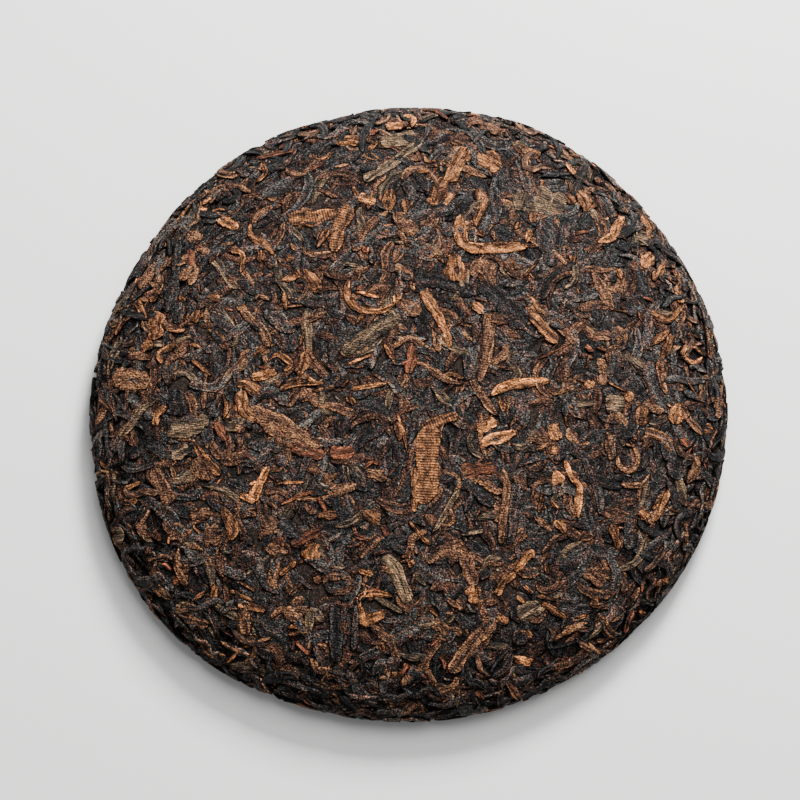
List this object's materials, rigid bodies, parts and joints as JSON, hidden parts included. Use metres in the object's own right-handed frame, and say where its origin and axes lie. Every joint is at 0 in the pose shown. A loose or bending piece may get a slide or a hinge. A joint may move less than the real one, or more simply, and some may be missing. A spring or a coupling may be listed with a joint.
{
  "type": "ripe pu-erh tea cake",
  "caption": "Round pressed cake of ripe pu-erh tea, a low dome of flattened dark and golden leaves with a flat back hollowed in the middle.",
  "frame": {"origin": "middle of the cake's outline, on the surface that its flat back lies on", "axes": "+Z out of the domed face, +Y towards the top of the face as it is shown, +X towards its right"},
  "size_m": [0.1994, 0.1992, 0.0231],
  "materials": {
    "pressed_tea": "dry pressed tea leaf, matt with a faint sheen on the flattened leaves"
  },
  "bodies": {
    "root": {"tea_cake": "pressed_tea"}
  },
  "joints": []
}
